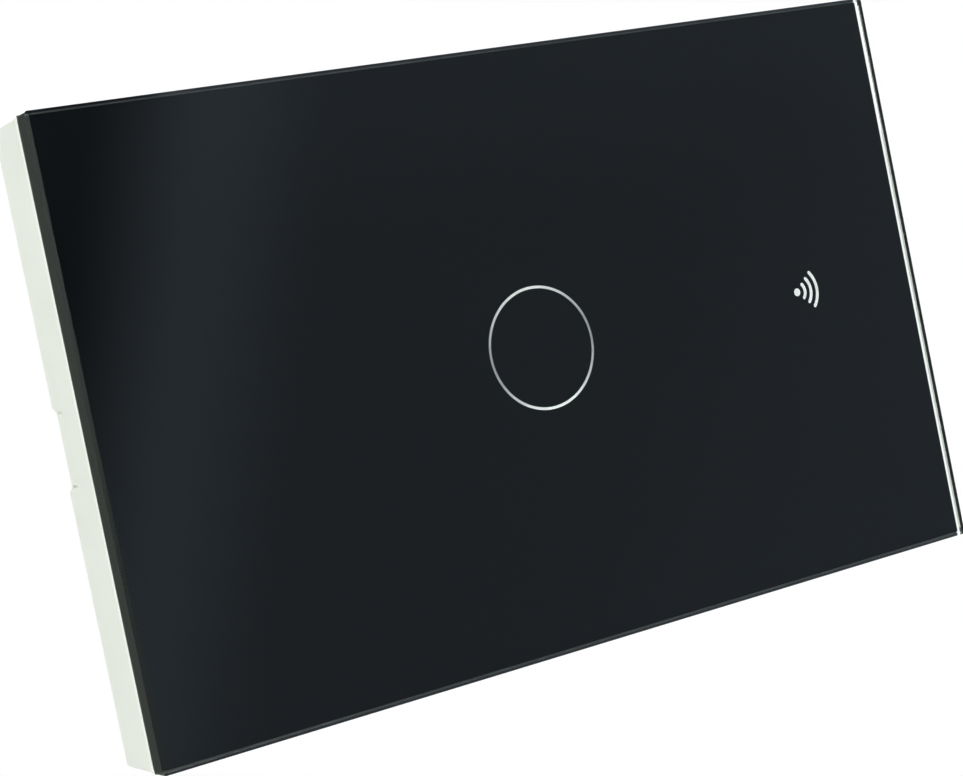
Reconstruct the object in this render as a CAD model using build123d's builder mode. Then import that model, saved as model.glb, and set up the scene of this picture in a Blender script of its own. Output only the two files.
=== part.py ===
from build123d import *

import math
import os

# A touch light switch: a glass front panel that snaps over a base screwed to a flush wall box.
# X runs to the right and Z up. The wall is the plane Y = 0 and the room is at negative Y.
# A level is a distance in front of the wall, so the pieces inside the wall box have negative levels.

# Whole switch
plate_width = 72.0
plate_height = 118.0
stand_off = 11.1
box_width = 47.0
box_height = 62.0
box_depth = 26.0
slot_spacing = 83.3

# Glass and the layers behind it
glass_thick = 2.4
glass_corner = 0.4
glass_bevel = 0.35
glass_back_bevel = 0.05
print_thick = 0.06
print_margin = 0.35
tape_thick = 0.5
tape_margin = 0.6
tape_drop = 0.45

# Touch ring and signal icon
ring_radius = 7.31
ring_line = 0.35
icon_end_gap = 18.91
icon_dot = 0.5
icon_arc_radii = (1.3, 2.28, 3.29)
icon_line = 0.5
icon_half_angle = 42

# Panel frame
skirt_inset = 0.05
skirt_wall = 1.85
skirt_corner = 0.35
skirt_taper = 0.25
cavity_corner = 0.8
frame_plate = 1.7
rim_gap = 0.3
rim_round = 0.3
lip_depth = 0.7
lip_step = 0.05
lip_round = 0.3

# Carrier
steel_thick = 1.0
flange_thick = 1.2
floor_thick = 1.2
base_wall = 1.4
housing_wall = 1.6
slot_width = 4.5
slot_length = 7.5

# Circuit boards, and the levels of the faces that look into the room
board_thick = 1.2
board_front = -1.0
power_board_thick = 1.6
power_board_front = -9.8

# Allowances
overrun = 1.0
slip_gap = 0.4
lay_gap = 0.1
thread_gap = 0.04

# Shares of a screw head that its recess takes
recess_length_share = 1.3
recess_width_share = 0.3
recess_depth_share = 0.5
head_chamfer_share = 0.33

# Levels from the glass down to the wall
glass_back = stand_off - glass_thick
print_back = glass_back - print_thick
tape_back = print_back - tape_thick
frame_back = tape_back - frame_plate
flange_front = steel_thick + flange_thick
floor_front = flange_front + floor_thick
housing_floor = housing_wall - box_depth
board_back = board_front - board_thick
power_board_back = power_board_front - power_board_thick

os.makedirs("parts", exist_ok=True)


# Planes and repeated forms

def at_level(level):
    # parallel to the wall, with local axes X and Z, facing the room
    return Plane.XZ.offset(level)


def across(height):
    # level with the floor at this height, with local axes X and level
    return Plane(origin=(0, 0, height), x_dir=(1, 0, 0), z_dir=(0, 0, -1))


def along(side):
    # upright at this X, with local axes Z and level
    return Plane(origin=(side, 0, 0), x_dir=(0, 0, 1), z_dir=(1, 0, 0))


def mirrored(x, z):
    # the four places at plus and minus x and z
    return [(i * x, j * z) for i in (-1, 1) for j in (-1, 1)]


def pan_screws(places, seat, head_radius, head_height, shank_radius, shank_length):
    # cross-recessed screws driven from the room, with their heads on the level called seat
    recess_length = recess_length_share * head_radius
    recess_width = recess_width_share * head_radius
    recess_depth = recess_depth_share * head_height
    head_chamfer = head_chamfer_share * head_height
    with BuildPart() as screws:
        with BuildSketch(at_level(seat)):
            with Locations(*places):
                Circle(head_radius)
        extrude(amount=head_height)
        chamfer(screws.edges().filter_by(GeomType.CIRCLE).group_by(Axis.Y)[0], head_chamfer)
        with BuildSketch(at_level(seat)):
            with Locations(*places):
                Circle(shank_radius)
        extrude(amount=-shank_length)
        with BuildSketch(at_level(seat + head_height)):
            with Locations(*places):
                Rectangle(recess_length, recess_width)
                Rectangle(recess_width, recess_length)
        extrude(amount=-recess_depth, mode=Mode.SUBTRACT)
    return screws


# Glass plate

with BuildPart() as glass_plate:
    with BuildSketch(at_level(glass_back)):
        RectangleRounded(plate_width, plate_height, glass_corner)
    extrude(amount=glass_thick)
    chamfer(glass_plate.faces().sort_by(Axis.Y)[0].edges(), glass_bevel)
    chamfer(glass_plate.faces().sort_by(Axis.Y)[-1].edges(), glass_back_bevel)
glass_plate.part.label = "glass_plate"
export_step(glass_plate.part, "parts/glass_plate.step")


# Prints on the back of the glass: the black ground and, in its windows, the ring and the icon

ring_outer = ring_radius + ring_line / 2
ring_inner = ring_radius - ring_line / 2
icon_height = plate_height / 2 - icon_end_gap
icon_arcs = []
for arc_radius in icon_arc_radii:
    icon_arcs.append(
        CenterArc((0, icon_height), arc_radius, 90 - icon_half_angle, 2 * icon_half_angle)
    )

with BuildSketch(at_level(print_back)) as icon_shape:
    with Locations((0, icon_height)):
        Circle(icon_dot)
    for icon_arc in icon_arcs:
        SlotArc(icon_arc, icon_line)

with BuildSketch(at_level(print_back)) as ring_shape:
    Circle(ring_outer)
    Circle(ring_inner, mode=Mode.SUBTRACT)

with BuildPart() as ring_print:
    extrude(ring_shape.sketch, amount=print_thick)
ring_print.part.label = "ring_print"
export_step(ring_print.part, "parts/ring_print.step")

with BuildPart() as icon_print:
    extrude(icon_shape.sketch, amount=print_thick)
icon_print.part.label = "icon_print"
export_step(icon_print.part, "parts/icon_print.step")

with BuildPart() as back_print:
    with BuildSketch(at_level(print_back)):
        Rectangle(plate_width - 2 * print_margin, plate_height - 2 * print_margin)
    extrude(amount=print_thick)
    extrude(ring_shape.sketch, amount=print_thick, mode=Mode.SUBTRACT)
    extrude(icon_shape.sketch, amount=print_thick, mode=Mode.SUBTRACT)
back_print.part.label = "back_print"
export_step(back_print.part, "parts/back_print.step")


# Light guides of the panel: a turned cup round the touch spring, and a bent bar for the icon

guide_radius = 8.6
guide_bore = 6.9
guide_web = 1.2
guide_flange_radius = 9.9
guide_flange = 0.8
guide_end = 0.6
web_back = print_back - guide_web

with BuildPart() as ring_light_guide:
    with BuildSketch(across(0)):
        with BuildLine():
            Polyline(
                (0, print_back),
                (guide_radius, print_back),
                (guide_radius, frame_back),
                (guide_flange_radius, frame_back),
                (guide_flange_radius, frame_back - guide_flange),
                (guide_radius, frame_back - guide_flange),
                (guide_radius, guide_end),
                (guide_bore, guide_end),
                (guide_bore, web_back),
                (0, web_back),
                close=True,
            )
        make_face()
    revolve(axis=Axis.Y)
ring_light_guide.part.label = "ring_light_guide"
export_step(ring_light_guide.part, "parts/ring_light_guide.step")

bar_width = 6.6
bar_thick = 1.6
bar_foot = 3.2
bar_foot_end = 0.4
bar_low = 22.0
plug_height = 5.8
bar_bevel = 1.4
icon_middle = icon_height + (icon_arc_radii[-1] + icon_line / 2 - icon_dot) / 2
plug_low = icon_middle - plug_height / 2
plug_high = icon_middle + plug_height / 2
bar_back = frame_back - bar_thick

with BuildPart() as icon_light_guide:
    with BuildSketch(along(0)):
        with BuildLine():
            Polyline(
                (bar_low, bar_foot_end),
                (bar_low, frame_back - bar_bevel),
                (bar_low + bar_bevel, frame_back),
                (plug_low, frame_back),
                (plug_low, print_back),
                (plug_high, print_back),
                (plug_high, bar_back + bar_bevel),
                (plug_high - bar_bevel, bar_back),
                (bar_low + bar_foot, bar_back),
                (bar_low + bar_foot, bar_foot_end),
                close=True,
            )
        make_face()
    extrude(amount=bar_width / 2, both=True)
icon_light_guide.part.label = "icon_light_guide"
export_step(icon_light_guide.part, "parts/icon_light_guide.step")


# Adhesive foam tape between the glass and the panel frame, laid a little low under the glass

with BuildPart() as glass_tape:
    with BuildSketch(at_level(tape_back)):
        with Locations((0, -tape_drop)):
            Rectangle(plate_width - 2 * tape_margin, plate_height - 2 * tape_margin)
        Circle(guide_radius + slip_gap, mode=Mode.SUBTRACT)
        with Locations((0, icon_middle)):
            Rectangle(bar_width + 2 * slip_gap, plug_height + 2 * slip_gap, mode=Mode.SUBTRACT)
    extrude(amount=tape_thick)
glass_tape.part.label = "glass_tape"
export_step(glass_tape.part, "parts/glass_tape.step")


# Panel frame: a white tray whose skirt hides the base, with a pry notch in the rim at the bottom

lip_width = plate_width - 2 * skirt_inset
lip_height = plate_height - 2 * skirt_inset
skirt_width = lip_width - 2 * lip_step
skirt_height = lip_height - 2 * lip_step
rim_width = skirt_width - 2 * skirt_taper
rim_height = skirt_height - 2 * skirt_taper
cavity_width = skirt_width - 2 * skirt_wall
cavity_height = skirt_height - 2 * skirt_wall
notch_floor_half = 4.1
notch_rim_half = 4.9
notch_depth = 1.3
notch_shoulder = 1.1
notch_root = 0.3
notch_reach = 1.5
slit_width = 0.3
slit_length = 1.65
slit_depth = 0.25
rib_thick = 1.0
rib_height = 1.0
rib_inset = 6.0
rib_column_share = 0.294
rib_column = rib_column_share * cavity_width
rib_row = cavity_height / 2 - rib_inset
notch_floor = rim_gap + notch_depth

with BuildPart() as panel_frame:
    with BuildSketch(at_level(rim_gap)):
        RectangleRounded(rim_width, rim_height, skirt_corner)
    with BuildSketch(at_level(tape_back)):
        RectangleRounded(skirt_width, skirt_height, skirt_corner)
    loft()
    fillet(panel_frame.faces().sort_by(Axis.Y)[-1].edges(), rim_round)
    with BuildSketch(at_level(tape_back)):
        RectangleRounded(lip_width, lip_height, skirt_corner + lip_step)
    extrude(amount=-lip_depth)
    fillet(panel_frame.faces().sort_by(Axis.Y)[0].edges(), lip_round)
    with BuildSketch(at_level(frame_back)):
        RectangleRounded(cavity_width, cavity_height, cavity_corner)
    extrude(amount=rim_gap - overrun - frame_back, mode=Mode.SUBTRACT)

    # stiffening ribs behind the plate
    with BuildSketch(at_level(frame_back)):
        with Locations((-rib_column, 0), (rib_column, 0)):
            Rectangle(rib_thick, 2 * rib_row + rib_thick)
        with Locations((0, -rib_row), (0, rib_row)):
            Rectangle(2 * rib_column + rib_thick, rib_thick)
    extrude(amount=-rib_height)

    # windows for the two light guides
    with BuildSketch(at_level(tape_back)):
        Circle(guide_radius + lay_gap)
        with Locations((0, icon_middle)):
            Rectangle(bar_width + 2 * lay_gap, plug_height + 2 * lay_gap)
    extrude(amount=-frame_plate, mode=Mode.SUBTRACT)

    # pry notch with rounded shoulders, and a fine groove running on from each of its corners
    with BuildSketch(across(-skirt_height / 2)):
        with BuildLine():
            FilletPolyline(
                (-notch_rim_half - notch_reach, rim_gap),
                (-notch_rim_half, rim_gap),
                (-notch_floor_half, notch_floor),
                (notch_floor_half, notch_floor),
                (notch_rim_half, rim_gap),
                (notch_rim_half + notch_reach, rim_gap),
                radius=(notch_shoulder, notch_root, notch_root, notch_shoulder),
            )
            Polyline(
                (notch_rim_half + notch_reach, rim_gap),
                (notch_rim_half + notch_reach, rim_gap - overrun),
                (-notch_rim_half - notch_reach, rim_gap - overrun),
                (-notch_rim_half - notch_reach, rim_gap),
            )
        make_face()
    extrude(amount=-skirt_wall - overrun, mode=Mode.SUBTRACT)
    with BuildSketch(across(-skirt_height / 2)):
        with Locations(
            (-notch_floor_half, notch_floor + slit_length / 2),
            (notch_floor_half, notch_floor + slit_length / 2),
        ):
            Rectangle(slit_width, slit_length)
    extrude(amount=-skirt_taper - slit_depth, mode=Mode.SUBTRACT)
panel_frame.part.label = "panel_frame"
export_step(panel_frame.part, "parts/panel_frame.step")


# Snap hooks, moulded on the panel frame: each catches a window in the base frame's long walls

base_width = cavity_width - 2 * slip_gap
base_height = cavity_height - 2 * slip_gap
base_inner_width = base_width - 2 * base_wall
base_inner_height = base_height - 2 * base_wall
hook_height = 35.0
hook_width = 7.0
hook_thick = 1.2
hook_barb = 1.1
hook_play = 0.2
hook_end = floor_front + hook_play
barb_front = hook_end + hook_thick
hook_outer = base_inner_width / 2 - slip_gap

with BuildPart() as snap_hooks:
    for row in (-1, 1):
        for side in (-1, 1):
            with BuildSketch(across(row * hook_height)):
                with BuildLine():
                    Polyline(
                        (side * hook_outer, frame_back),
                        (side * hook_outer, barb_front),
                        (side * (hook_outer + hook_barb), barb_front),
                        (side * hook_outer, hook_end),
                        (side * (hook_outer - hook_thick), hook_end),
                        (side * (hook_outer - hook_thick), frame_back),
                        close=True,
                    )
                make_face()
            extrude(amount=hook_width / 2, both=True)
snap_hooks.part.label = "snap_hooks"
export_step(snap_hooks.part, "parts/snap_hooks.step")


# Mounting plate: a steel strap plate with a slot for each wall box screw

steel_width = base_inner_width - 2 * slip_gap
steel_height = base_inner_height - 2 * slip_gap
steel_corner = 3.0
housing_corner = 3.0
flange_share = 0.4
flange_width = box_width + flange_share * (base_inner_width - box_width)
flange_height = 71.2
flange_corner = 2.0
fixing_x = 16.0
fixing_z = 33.4
fixing_shank = 1.25
fixing_head = 2.1
fixing_head_height = 1.5
fixing_places = mirrored(fixing_x, fixing_z)

with BuildPart() as mounting_plate:
    with BuildSketch(at_level(0)):
        RectangleRounded(steel_width, steel_height, steel_corner)
        RectangleRounded(
            box_width + 2 * slip_gap,
            box_height + 2 * slip_gap,
            housing_corner + slip_gap,
            mode=Mode.SUBTRACT,
        )
        with Locations((0, -slot_spacing / 2), (0, slot_spacing / 2)):
            SlotOverall(slot_length, slot_width, rotation=90, mode=Mode.SUBTRACT)
        with Locations(*fixing_places):
            Circle(fixing_shank + thread_gap, mode=Mode.SUBTRACT)
    extrude(amount=steel_thick)
mounting_plate.part.label = "mounting_plate"
export_step(mounting_plate.part, "parts/mounting_plate.step")


# Rear housing: a deep box that sinks into the wall box, with a flange in front of the steel plate

inner_width = box_width - 2 * housing_wall
inner_height = box_height - 2 * housing_wall
back_chamfer = 1.0
board_boss = 3.0
board_boss_x = 19.0
board_boss_z = 26.5
board_screw = 0.95
board_screw_reach = 6.0
post_radius = 2.2
post_x = 18.9
post_z = 10.0
post_rib = 2.0
vent_count = 4
vent_width = 1.4
vent_length = 10.0
vent_pitch = 3.4
vent_height = 20.0
vent_level = -16.0
terminal_pitch = 10.0
terminal_height = -24.0
driver_radius = 3.1
wire_window = 3.8
wire_level = -14.5
terminal_places = [(i * terminal_pitch, terminal_height) for i in (-1, 0, 1)]
board_boss_places = mirrored(board_boss_x, board_boss_z)
post_places = mirrored(post_x, post_z)

with BuildPart() as rear_housing:
    with BuildSketch(at_level(-box_depth)):
        RectangleRounded(box_width, box_height, housing_corner)
    extrude(amount=box_depth + steel_thick)
    chamfer(rear_housing.faces().sort_by(Axis.Y)[-1].edges(), back_chamfer)
    with BuildSketch(at_level(steel_thick)):
        RectangleRounded(flange_width, flange_height, flange_corner)
    extrude(amount=flange_thick)
    with BuildSketch(at_level(housing_floor)):
        RectangleRounded(inner_width, inner_height, housing_corner - housing_wall)
    extrude(amount=flange_front - housing_floor + overrun, mode=Mode.SUBTRACT)

    # screw bosses for the front board, and ribbed posts for the power board
    with BuildSketch(at_level(housing_floor)):
        with Locations(*board_boss_places):
            Circle(board_boss)
    extrude(amount=board_back - housing_floor)
    with BuildSketch(at_level(housing_floor)):
        with Locations(*post_places):
            Circle(post_radius)
        with Locations(*mirrored((post_x + inner_width / 2) / 2, post_z)):
            Rectangle(inner_width / 2 - post_x, post_rib)
    extrude(amount=power_board_back - housing_floor)
    with BuildSketch(at_level(board_back)):
        with Locations(*board_boss_places):
            Circle(board_screw + thread_gap)
    extrude(amount=-board_screw_reach, mode=Mode.SUBTRACT)
    with BuildSketch(at_level(power_board_back)):
        with Locations(*post_places):
            Circle(board_screw + thread_gap)
    extrude(amount=-board_screw_reach, mode=Mode.SUBTRACT)

    # holes for the fixing screws in the flange
    with BuildSketch(at_level(flange_front)):
        with Locations(*fixing_places):
            Circle(fixing_shank + lay_gap)
    extrude(amount=-flange_thick, mode=Mode.SUBTRACT)

    # vents in both long walls
    with BuildSketch(along(-box_width / 2)):
        with Locations((vent_height, vent_level)):
            with GridLocations(vent_pitch, 0, vent_count, 1):
                SlotOverall(vent_length, vent_width, rotation=90)
    extrude(amount=box_width, mode=Mode.SUBTRACT)

    # screwdriver holes over the terminal screws, and a window for each wire
    with BuildSketch(at_level(housing_floor)):
        with Locations(*terminal_places):
            Circle(driver_radius)
    extrude(amount=-housing_wall, mode=Mode.SUBTRACT)
    with BuildSketch(across(-box_height / 2)):
        with Locations(*[(x, wire_level) for x, z in terminal_places]):
            Rectangle(wire_window, wire_window)
    extrude(amount=-housing_wall, mode=Mode.SUBTRACT)
rear_housing.part.label = "rear_housing"
export_step(rear_housing.part, "parts/rear_housing.step")


# Base frame: a tray over the steel plate and the flange, which the front panel snaps on

base_back = 0.15
base_front = 5.8
base_corner = 1.0
head_room = 8.4
head_travel = 3.0
pad_share = 0.23
pad_inset = 5.2
pad_radius = pad_share * (base_inner_width - flange_width)
pad_x = (flange_width + base_inner_width) / 4
pad_z = base_inner_height / 2 - pad_inset
collar_wall = 1.2
collar_height = 1.2
pry_width = 9.0
pry_level = 4.2

with BuildPart() as base_frame:
    with BuildSketch(at_level(base_back)):
        RectangleRounded(base_width, base_height, base_corner + base_wall)
    extrude(amount=base_front - base_back)
    with BuildSketch(at_level(floor_front)):
        RectangleRounded(base_inner_width, base_inner_height, base_corner)
    extrude(amount=base_front - floor_front + overrun, mode=Mode.SUBTRACT)
    with BuildSketch(at_level(flange_front)):
        RectangleRounded(base_inner_width, base_inner_height, base_corner)
    extrude(amount=-flange_front, mode=Mode.SUBTRACT)

    # pads that press the steel plate's corners, a collar round the boards' opening
    with BuildSketch(at_level(steel_thick)):
        with Locations(*mirrored(pad_x, pad_z), *mirrored(pad_x, 0)):
            Circle(pad_radius)
    extrude(amount=flange_thick)
    with BuildSketch(at_level(floor_front)):
        RectangleRounded(
            inner_width + 2 * collar_wall, inner_height + 2 * collar_wall, housing_corner
        )
    extrude(amount=collar_height)
    with BuildSketch(at_level(flange_front)):
        RectangleRounded(inner_width, inner_height, housing_corner - housing_wall)
    extrude(amount=floor_thick + collar_height, mode=Mode.SUBTRACT)

    # room for the heads of the wall box screws, and holes for the fixing screws
    with BuildSketch(at_level(flange_front)):
        with Locations((0, -slot_spacing / 2), (0, slot_spacing / 2)):
            SlotCenterToCenter(head_travel, head_room, rotation=90)
        with Locations(*fixing_places):
            Circle(fixing_shank + lay_gap)
    extrude(amount=floor_thick + collar_height, mode=Mode.SUBTRACT)

    # windows for the snap hooks in the long walls, and the pry slot in the bottom wall
    with BuildSketch(along(-base_width / 2)):
        with Locations(
            (-hook_height, (hook_end + barb_front) / 2), (hook_height, (hook_end + barb_front) / 2)
        ):
            Rectangle(hook_width + 2 * slip_gap, hook_thick + 2 * hook_play)
    extrude(amount=base_width, mode=Mode.SUBTRACT)
    with BuildSketch(across(-base_height / 2)):
        with Locations((0, pry_level / 2)):
            Rectangle(pry_width, pry_level)
    extrude(amount=-base_wall, mode=Mode.SUBTRACT)
base_frame.part.label = "base_frame"
export_step(base_frame.part, "parts/base_frame.step")


# Screws that hold the base frame and the housing on the steel plate

housing_screws = pan_screws(
    fixing_places, floor_front, fixing_head, fixing_head_height, fixing_shank, floor_front - lay_gap
)
housing_screws.part.label = "housing_screws"
export_step(housing_screws.part, "parts/housing_screws.step")


# Front circuit board with its touch spring, lights and radio

board_width = inner_width - 2 * slip_gap
board_height = inner_height - 2 * slip_gap
board_corner = 1.0
board_head = 1.9
board_head_height = 1.3
header_x = -17.0
pin_pitch = 2.54
pin_rows = 4
pin_width = 0.64
pin_hole = 0.5
pin_above = 0.5
header_width = 5.0
header_length = 10.6
header_height = 2.5
socket_height = 5.0
socket_hole = 0.9
socket_skin = 0.5
pin_places = [
    (header_x + (i - 0.5) * pin_pitch, (j - (pin_rows - 1) / 2) * pin_pitch)
    for i in (0, 1)
    for j in range(pin_rows)
]

with BuildPart() as touch_board:
    with BuildSketch(at_level(board_back)):
        RectangleRounded(board_width, board_height, board_corner)
        with Locations(*board_boss_places):
            Circle(board_screw + lay_gap, mode=Mode.SUBTRACT)
        with Locations(*pin_places):
            Circle(pin_hole, mode=Mode.SUBTRACT)
    extrude(amount=board_thick)
touch_board.part.label = "touch_board"
export_step(touch_board.part, "parts/touch_board.step")

touch_board_screws = pan_screws(
    board_boss_places,
    board_front,
    board_head,
    board_head_height,
    board_screw,
    board_thick + board_screw_reach - lay_gap,
)
touch_board_screws.part.label = "touch_board_screws"
export_step(touch_board_screws.part, "parts/touch_board_screws.step")

led_length = 2.0
led_width = 1.25
led_height = 0.7
led_ring = (guide_radius + guide_bore) / 2

with BuildPart() as ring_leds:
    with BuildSketch(at_level(board_front)):
        with PolarLocations(led_ring, 4, start_angle=45):
            Rectangle(led_width, led_length)
    extrude(amount=led_height)
ring_leds.part.label = "ring_leds"
export_step(ring_leds.part, "parts/ring_leds.step")

with BuildPart() as icon_led:
    with BuildSketch(at_level(board_front)):
        with Locations((0, bar_low + bar_foot / 2)):
            Rectangle(led_length, led_width)
    extrude(amount=led_height)
icon_led.part.label = "icon_led"
export_step(icon_led.part, "parts/icon_led.step")

chip_x = -12.0
chip_z = 16.0
chip_width = 4.0
chip_length = 5.0
chip_height = 1.5

with BuildPart() as touch_chip:
    with BuildSketch(at_level(board_back)):
        with Locations((chip_x, chip_z)):
            Rectangle(chip_width, chip_length)
    extrude(amount=-chip_height)
touch_chip.part.label = "touch_chip"
export_step(touch_chip.part, "parts/touch_chip.step")

radio_x = 8.0
radio_z = 12.0
radio_width = 16.0
radio_length = 24.0
radio_thick = 0.8
shield_width = 12.0
shield_length = 15.0
shield_height = 2.2
shield_drop = 3.0
shield_corner = 0.8

with BuildPart() as radio_module:
    with BuildSketch(at_level(board_back)):
        with Locations((radio_x, radio_z)):
            Rectangle(radio_width, radio_length)
    extrude(amount=-radio_thick)
radio_module.part.label = "radio_module"
export_step(radio_module.part, "parts/radio_module.step")

with BuildPart() as radio_shield:
    with BuildSketch(at_level(board_back - radio_thick)):
        with Locations((radio_x, radio_z - shield_drop)):
            RectangleRounded(shield_width, shield_length, shield_corner)
    extrude(amount=-shield_height)
radio_shield.part.label = "radio_shield"
export_step(radio_shield.part, "parts/radio_shield.step")

with BuildPart() as pin_header:
    with BuildSketch(at_level(board_back)):
        with Locations((header_x, 0)):
            Rectangle(header_width, header_length)
    extrude(amount=-header_height)
    with BuildSketch(at_level(board_front + pin_above)):
        with Locations(*pin_places):
            Rectangle(pin_width, pin_width)
    extrude(amount=power_board_front + socket_skin + lay_gap - board_front - pin_above)
pin_header.part.label = "pin_header"
export_step(pin_header.part, "parts/pin_header.step")


# Touch spring: an open coil with a straight leg at each end, from the board to the cup's web

spring_wire = 0.5
spring_radius = 3.5
spring_turns = 5
spring_bend = 0.9
spring_leg = 0.55
spring_foot = board_front
spring_top = web_back - lay_gap
spring_start = spring_foot + spring_leg + spring_bend
spring_pitch = (spring_top - spring_foot - 2 * (spring_leg + spring_bend)) / spring_turns
into_room = Vector(0, -1, 0)


def coil_point(turn):
    angle = 2 * math.pi * turn
    return Vector(
        spring_radius * math.cos(angle),
        -spring_start - spring_pitch * turn,
        spring_radius * math.sin(angle),
    )


def coil_heading(turn):
    angle = 2 * math.pi * turn
    run = 2 * math.pi * spring_radius
    return Vector(-run * math.sin(angle), -spring_pitch, run * math.cos(angle)).normalized()


def bend_chord(heading):
    # from one end to the other of a bend between the leg's direction and this heading
    turn = math.radians(into_room.get_angle(heading))
    return (into_room + heading).normalized() * (2 * spring_bend * math.sin(turn / 2))


def biarc(start, start_heading, end, end_heading):
    # two equal tangent arcs between two points with their headings
    reach = end - start
    both = start_heading + end_heading
    spread = 2 * (1 - start_heading.dot(end_heading))
    drive = reach.dot(both)
    arm = (math.sqrt(drive ** 2 + spread * reach.dot(reach)) - drive) / spread
    first = start + start_heading * arm
    second = end - end_heading * arm
    joint = (first + second) * 0.5
    TangentArc(start, joint, tangent=start_heading)
    TangentArc(joint, end, tangent=(second - first).normalized())


lower_bend = coil_point(0) - bend_chord(coil_heading(0))
upper_bend = coil_point(spring_turns) + bend_chord(coil_heading(spring_turns))
lower_end = Vector(lower_bend.X, -spring_foot, lower_bend.Z)
upper_end = Vector(upper_bend.X, -spring_top, upper_bend.Z)

with BuildPart() as touch_spring:
    with BuildLine() as spring_path:
        Line(lower_end, lower_bend)
        TangentArc(lower_bend, coil_point(0), tangent=into_room)
        for half in range(2 * spring_turns):
            here = half / 2
            there = (half + 1) / 2
            biarc(coil_point(here), coil_heading(here), coil_point(there), coil_heading(there))
        TangentArc(coil_point(spring_turns), upper_bend, tangent=coil_heading(spring_turns))
        Line(upper_bend, upper_end)
    with BuildSketch(Plane(origin=lower_end, z_dir=into_room)):
        Circle(spring_wire / 2)
    sweep(path=spring_path.wires()[0])
touch_spring.part.label = "touch_spring"
export_step(touch_spring.part, "parts/touch_spring.step")

spring_steps = 400
spring_line = spring_path.wires()[0]
spring_points = [spring_line.position_at(i / spring_steps) for i in range(spring_steps + 1)]
step_length = spring_line.length / spring_steps
apart = math.ceil(math.pi * spring_radius / step_length)
least = min(
    (spring_points[i] - spring_points[j]).length
    for i in range(spring_steps + 1)
    for j in range(i + apart, spring_steps + 1)
)
print("touch spring: least gap to itself", round(least - spring_wire, 3))
print(
    "touch spring: volume over section times length",
    round(touch_spring.part.volume / (math.pi * (spring_wire / 2) ** 2 * spring_line.length), 4),
)


# Power board, with slots and holes for the leads of the relay and the terminals

boss_clearance = 0.4
relay_x = -9.4
relay_z = 4.0
case_width = 10.2
case_length = 18.2
relay_pin_x = 3.0
relay_pin_inset = 3.5
relay_pin_offset = 1.0
relay_pin_low = relay_pin_inset - case_length / 2
relay_pin_high = relay_pin_offset - relay_pin_low
relay_pin = 0.4
pin_proud = 0.5
relay_pin_places = [
    (relay_x + i * relay_pin_x, relay_z + j) for i in (-1, 1) for j in (relay_pin_low, relay_pin_high)
]
bar_tail_width = 1.2
bar_tail_thick = 0.8
bar_tail_height = 4.0
tail_places = [(x, z + bar_tail_height) for x, z in terminal_places]

with BuildPart() as power_board:
    with BuildSketch(at_level(power_board_back)):
        RectangleRounded(board_width, board_height, board_corner)
        with Locations(*board_boss_places):
            Circle(board_boss + boss_clearance, mode=Mode.SUBTRACT)
        with Locations(*mirrored(board_width / 2, board_height / 2)):
            Rectangle(
                board_width - 2 * board_boss_x,
                board_height - 2 * board_boss_z,
                mode=Mode.SUBTRACT,
            )
        with Locations(*post_places):
            Circle(board_screw + lay_gap, mode=Mode.SUBTRACT)
        with Locations(*relay_pin_places):
            Circle(relay_pin + lay_gap, mode=Mode.SUBTRACT)
        with Locations(*tail_places):
            Rectangle(bar_tail_width + 2 * lay_gap, bar_tail_thick + 2 * lay_gap, mode=Mode.SUBTRACT)
    extrude(amount=power_board_thick)
power_board.part.label = "power_board"
export_step(power_board.part, "parts/power_board.step")

power_board_screws = pan_screws(
    post_places,
    power_board_front,
    board_head,
    board_head_height,
    board_screw,
    power_board_thick + board_screw_reach - lay_gap,
)
power_board_screws.part.label = "power_board_screws"
export_step(power_board_screws.part, "parts/power_board_screws.step")

with BuildPart() as header_socket:
    with BuildSketch(at_level(power_board_front)):
        with Locations((header_x, 0)):
            Rectangle(header_width, header_length)
    extrude(amount=socket_height)
    with BuildSketch(at_level(power_board_front + socket_height)):
        with Locations(*pin_places):
            Rectangle(socket_hole, socket_hole)
    extrude(amount=socket_skin - socket_height, mode=Mode.SUBTRACT)
header_socket.part.label = "header_socket"
export_step(header_socket.part, "parts/header_socket.step")

sheet_thick = 0.3
sheet_width = 31.4
sheet_low = -17.8
sheet_high = 28.8

with BuildPart() as insulation_sheet:
    with BuildSketch(at_level(housing_floor)):
        with Locations((0, (sheet_low + sheet_high) / 2)):
            Rectangle(sheet_width, sheet_high - sheet_low)
    extrude(amount=sheet_thick)
insulation_sheet.part.label = "insulation_sheet"
export_step(insulation_sheet.part, "parts/insulation_sheet.step")


# Parts soldered behind the power board; a height here is counted from the board's back

def behind(height):
    return at_level(power_board_back - height)


transformer_x = 8.5
transformer_z = -5.0
bobbin_base = 0.8
bobbin_width = 12.4
core_width = 12.0
core_height = 10.5
core_thick = 4.6
core_leg = 2.8
core_side = 1.6
core_yoke = 1.7
winding_width = 8.4
winding_thick = 11.0
winding_corner = 2.0

with BuildPart() as transformer_bobbin:
    with BuildSketch(behind(0)):
        with Locations((transformer_x, transformer_z)):
            RectangleRounded(bobbin_width, bobbin_width, bobbin_base)
    extrude(amount=-bobbin_base)
transformer_bobbin.part.label = "transformer_bobbin"
export_step(transformer_bobbin.part, "parts/transformer_bobbin.step")

with BuildPart() as transformer_core:
    with BuildSketch(behind(bobbin_base)):
        with Locations((transformer_x, transformer_z)):
            Rectangle(core_width, core_thick)
    extrude(amount=-core_height)
    with BuildSketch(behind(bobbin_base + core_yoke)):
        with Locations((transformer_x, transformer_z)):
            Rectangle(core_width - 2 * core_side, core_thick)
            Rectangle(core_leg, core_thick, mode=Mode.SUBTRACT)
    extrude(amount=2 * core_yoke - core_height, mode=Mode.SUBTRACT)
transformer_core.part.label = "transformer_core"
export_step(transformer_core.part, "parts/transformer_core.step")

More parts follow.
